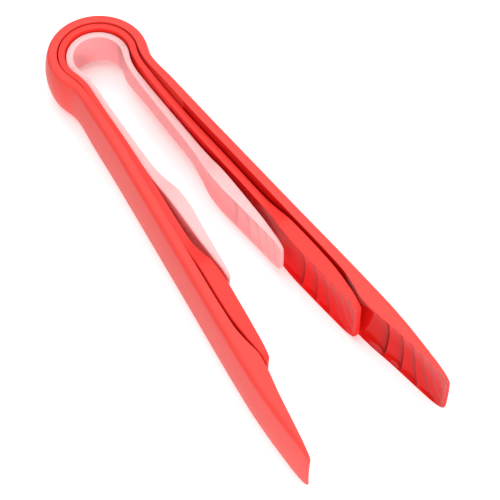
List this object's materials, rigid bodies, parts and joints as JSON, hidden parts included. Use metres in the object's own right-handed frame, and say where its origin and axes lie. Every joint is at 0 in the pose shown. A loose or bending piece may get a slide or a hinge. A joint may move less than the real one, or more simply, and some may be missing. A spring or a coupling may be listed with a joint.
{
  "type": "print tongs",
  "caption": "Nested set of one-piece plastic spring tongs, each with a round bow, two flexing arms and cupped, ridged gripping ends.",
  "frame": {"origin": "centre of the set's length and spread, on the surface that it lies on", "axes": "+X from the bows to the tips, +Y towards the right arms, +Z across the width of the bands, up when the set lies on its edges"},
  "size_m": [0.2415, 0.069, 0.026],
  "materials": {
    "coral_plastic": "satin",
    "red_plastic": "glossy",
    "pink_plastic": "satin, slightly translucent"
  },
  "bodies": {
    "large_bow": {"large_bow": "coral_plastic"},
    "large_left_arm": {"large_left_arm": "coral_plastic"},
    "large_right_arm": {"large_right_arm": "coral_plastic"},
    "middle_bow": {"middle_bow": "red_plastic"},
    "middle_left_arm": {"middle_left_arm": "red_plastic"},
    "middle_right_arm": {"middle_right_arm": "red_plastic"},
    "small_bow": {"small_bow": "pink_plastic"},
    "small_left_arm": {"small_left_arm": "pink_plastic"},
    "small_right_arm": {"small_right_arm": "pink_plastic"}
  },
  "joints": [
    {"name": "middle_lift_out", "type": "slide", "parent": "large_bow", "child": "middle_bow", "axis": [0, 0, 1], "range_m": [0, 0.03]},
    {"name": "small_lift_out", "type": "slide", "parent": "middle_bow", "child": "small_bow", "axis": [0, 0, 1], "range_m": [0, 0.03]},
    {"name": "large_left_flex", "type": "hinge", "parent": "large_bow", "child": "large_left_arm", "pos_m": [-0.0846, -0.0164, 0.013], "axis": [0, 0, 1], "range_deg": [0, 5.6], "stiffness_Nm_per_rad": 3},
    {"name": "large_right_flex", "type": "hinge", "parent": "large_bow", "child": "large_right_arm", "pos_m": [-0.0846, 0.0164, 0.013], "axis": [0, 0, -1], "range_deg": [0, 5.6], "stiffness_Nm_per_rad": 3},
    {"name": "middle_left_flex", "type": "hinge", "parent": "middle_bow", "child": "middle_left_arm", "pos_m": [-0.0846, -0.0129, 0.013], "axis": [0, 0, 1], "range_deg": [0, 5.6], "stiffness_Nm_per_rad": 1.5},
    {"name": "middle_right_flex", "type": "hinge", "parent": "middle_bow", "child": "middle_right_arm", "pos_m": [-0.0846, 0.0129, 0.013], "axis": [0, 0, -1], "range_deg": [0, 5.6], "stiffness_Nm_per_rad": 1.5},
    {"name": "small_left_flex", "type": "hinge", "parent": "small_bow", "child": "small_left_arm", "pos_m": [-0.0846, -0.0094, 0.013], "axis": [0, 0, 1], "range_deg": [0, 5.6], "stiffness_Nm_per_rad": 1},
    {"name": "small_right_flex", "type": "hinge", "parent": "small_bow", "child": "small_right_arm", "pos_m": [-0.0846, 0.0094, 0.013], "axis": [0, 0, -1], "range_deg": [0, 5.6], "stiffness_Nm_per_rad": 1}
  ],
  "couplings": [
    {"joint": "large_right_flex", "follows": "large_left_flex", "ratio": 1},
    {"joint": "middle_left_flex", "follows": "large_left_flex", "ratio": 1},
    {"joint": "middle_right_flex", "follows": "large_left_flex", "ratio": 1},
    {"joint": "small_left_flex", "follows": "large_left_flex", "ratio": 1},
    {"joint": "small_right_flex", "follows": "large_left_flex", "ratio": 1}
  ]
}
